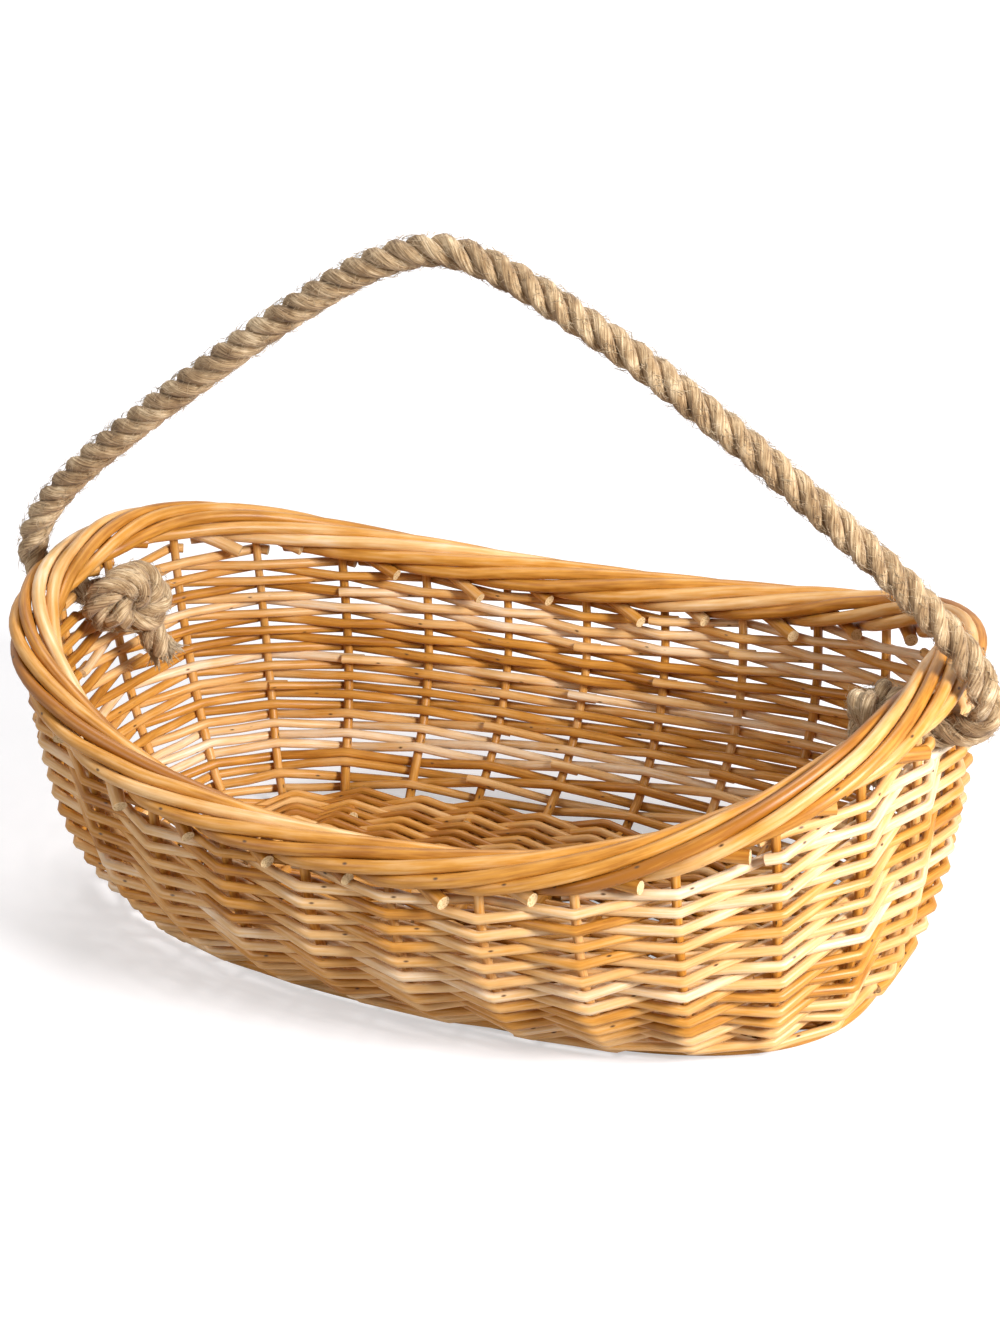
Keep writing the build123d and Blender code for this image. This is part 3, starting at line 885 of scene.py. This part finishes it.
def floorSpokes():
    spokes = []
    for x in crossPlaces():
        for side in (-1, 1):
            near = floorBase["slitHalfLength"] + floorBase["ringStart"]
            far = crossHalfLength(x) - floorBase["ringEnd"]
            spokes.append((Vector((x, side * near, 0)), Vector((x, side * far, 0))))
    for index in range(floorBase["longSticks"]):
        tip, left, right, farTip = longStickPoints(index)
        for straight, end in ((left, tip), (right, farTip)):
            heading = (end - straight).normalized()
            spokes.append((straight + heading * floorBase["ringStart"], end - heading * floorBase["ringEnd"]))
    return sorted(spokes, key=lambda spoke: np.arctan2(spoke[1].y, spoke[1].x))


def makeFloorRing(index):
    spokes = floorSpokes()
    share = index / (floorBase["rings"] - 1)
    bundleFrom = (floorBase["crossSticks"] - 1) / 2 * floorBase["crossSpacing"] - floorBase["bundleMargin"]
    turn = index
    stations = []
    for i, (start, end) in enumerate(spokes):
        bundled = index < floorBase["bundledRings"]
        inBundle = bundled and abs(start.x) > bundleFrom
        beforeInBundle = bundled and abs(spokes[i - 1][0].x) > bundleFrom
        if not (inBundle and beforeInBundle):
            turn += 1
        lift = floorBase["ringLift"] if turn % 2 == 0 else -floorBase["ringLift"]
        heading = (end - start).normalized()
        centre = start.lerp(end, share) + zAxis * (basket["floorHeight"] + lift)
        stations.append((centre, Vector((-heading.y, heading.x, 0))))
    rods = []
    half = len(spokes) // 2
    for part in range(2):
        first = floorBase["ringShift"] * index + part * half
        points = []
        for i in range(-1, half + 1):
            centre, around = stations[(first + i) % len(spokes)]
            centre = centre + zAxis * waver(0.0002)
            points += [centre - around * floorBase["ringBendHalf"], centre + around * floorBase["ringBendHalf"]]
        tail = floorBase["ringTail"]
        points = [points[1].lerp(points[2], tail)] + points[2:-2] + [points[-3].lerp(points[-2], tail)]
        radius = floorBase["ringRadius"] * random.uniform(0.94, 1.05)
        rods.append(willowRod(points, [radius] * len(points), floorWillow))
    return rods


def makeEdgeRod():
    points = []
    for i in range(8 * basket["stakes"] + 3):  # its end lies past its start
        points.append(floorPoint(i / 8) + zAxis * floorBase["edgeRodRadius"])
    rod = willowRod(points, [floorBase["edgeRodRadius"]] * len(points), floorWillow, 0.35)
    joinPieces([rod], "baseEdgeRod", "basket", "floor_willow", "base_edge_rod")


makeCrossSticks()
makeLongSticks()
rings = [makeFloorRing(index) for index in range(floorBase["rings"])]
inner = floorBase["rings"] // 2
joinPieces(sum(rings[:inner], []), "baseWeaveInner", "basket", "floor_willow", "base_weave_inner")
joinPieces(sum(rings[inner:], []), "baseWeaveOuter", "basket", "floor_willow", "base_weave_outer")
makeEdgeRod()
print("floor woven")


# Studio: a pale floor, the main lamp low at the right, a soft one at the left front and one above
studio = {
    "floorSize": 12,
    "floorColour": (0.58, 0.565, 0.575),
    "floorGlow": 0.50,
    "glowFrom": 0.7,
    "glowTo": 2.2,
    "worldStrength": 0.17,
    "lamps": [
        ("keyLamp", (2.1, -0.65, 1.3), (0.0, 0.0, 0.1), 0.7, 106),
        ("fillLamp", (-1.6, -1.7, 1.5), (0.0, 0.0, 0.1), 1.2, 20),
        ("topLamp", (-0.5, 0.8, 2.2), (0.0, 0.0, 0.1), 1.0, 24),
    ],
}


def makeStudio():
    bpy.ops.object.select_all(action="DESELECT")
    bpy.ops.mesh.primitive_plane_add(size=studio["floorSize"])
    ground = bpy.context.object
    ground.name = "studioFloor"
    material, tree, shader = startMaterial("studioFloor")
    shader.inputs["Base Color"].default_value = (*studio["floorColour"], 1)
    shader.inputs["Roughness"].default_value = 0.9
    shader.inputs["Specular IOR Level"].default_value = 0.1
    seen = addNode(tree, "ShaderNodeLightPath").outputs["Is Camera Ray"]
    place = addNode(tree, "ShaderNodeTexCoord").outputs["Object"]
    away = addNode(tree, "ShaderNodeVectorMath", {0: place}, operation="LENGTH").outputs["Value"]
    glowRange = {0: away, 1: studio["glowFrom"], 2: studio["glowTo"], 3: studio["floorGlow"], 4: 1}
    whiter = addNode(tree, "ShaderNodeMapRange", glowRange).outputs[0]
    glow = addNode(tree, "ShaderNodeMath", {0: seen, 1: whiter}, operation="MULTIPLY").outputs[0]
    shader.inputs["Emission Color"].default_value = (1, 1, 1, 1)
    tree.links.new(glow, shader.inputs["Emission Strength"])
    ground.data.materials.append(material)
    for name, place, aim, size, power in studio["lamps"]:
        bpy.ops.object.light_add(type="AREA", location=place)
        lamp = bpy.context.object
        lamp.name = name
        lamp.data.shape = "DISK"
        lamp.data.size = size
        lamp.data.energy = power
        lamp.rotation_euler = (Vector(place) - Vector(aim)).to_track_quat("Z", "Y").to_euler()
    world = bpy.data.worlds.new("studioWorld")
    world.use_nodes = True
    bpy.context.scene.world = world
    tree = world.node_tree
    rays = addNode(tree, "ShaderNodeLightPath").outputs
    seen = addNode(tree, "ShaderNodeMath", {0: rays["Is Camera Ray"], 1: rays["Is Glossy Ray"]}, operation="MAXIMUM")
    shown = addNode(tree, "ShaderNodeMath", {0: seen.outputs[0], 1: rays["Is Transmission Ray"]}, operation="MAXIMUM")
    strength = addNode(tree, "ShaderNodeMapRange", {0: shown.outputs[0], 3: studio["worldStrength"], 4: 1})
    background = tree.nodes["Background"]
    background.inputs["Color"].default_value = (1, 1, 1, 1)
    tree.links.new(strength.outputs[0], background.inputs["Strength"])
    bpy.context.scene.view_settings.view_transform = "Standard"


makeStudio()
print("studio lit")
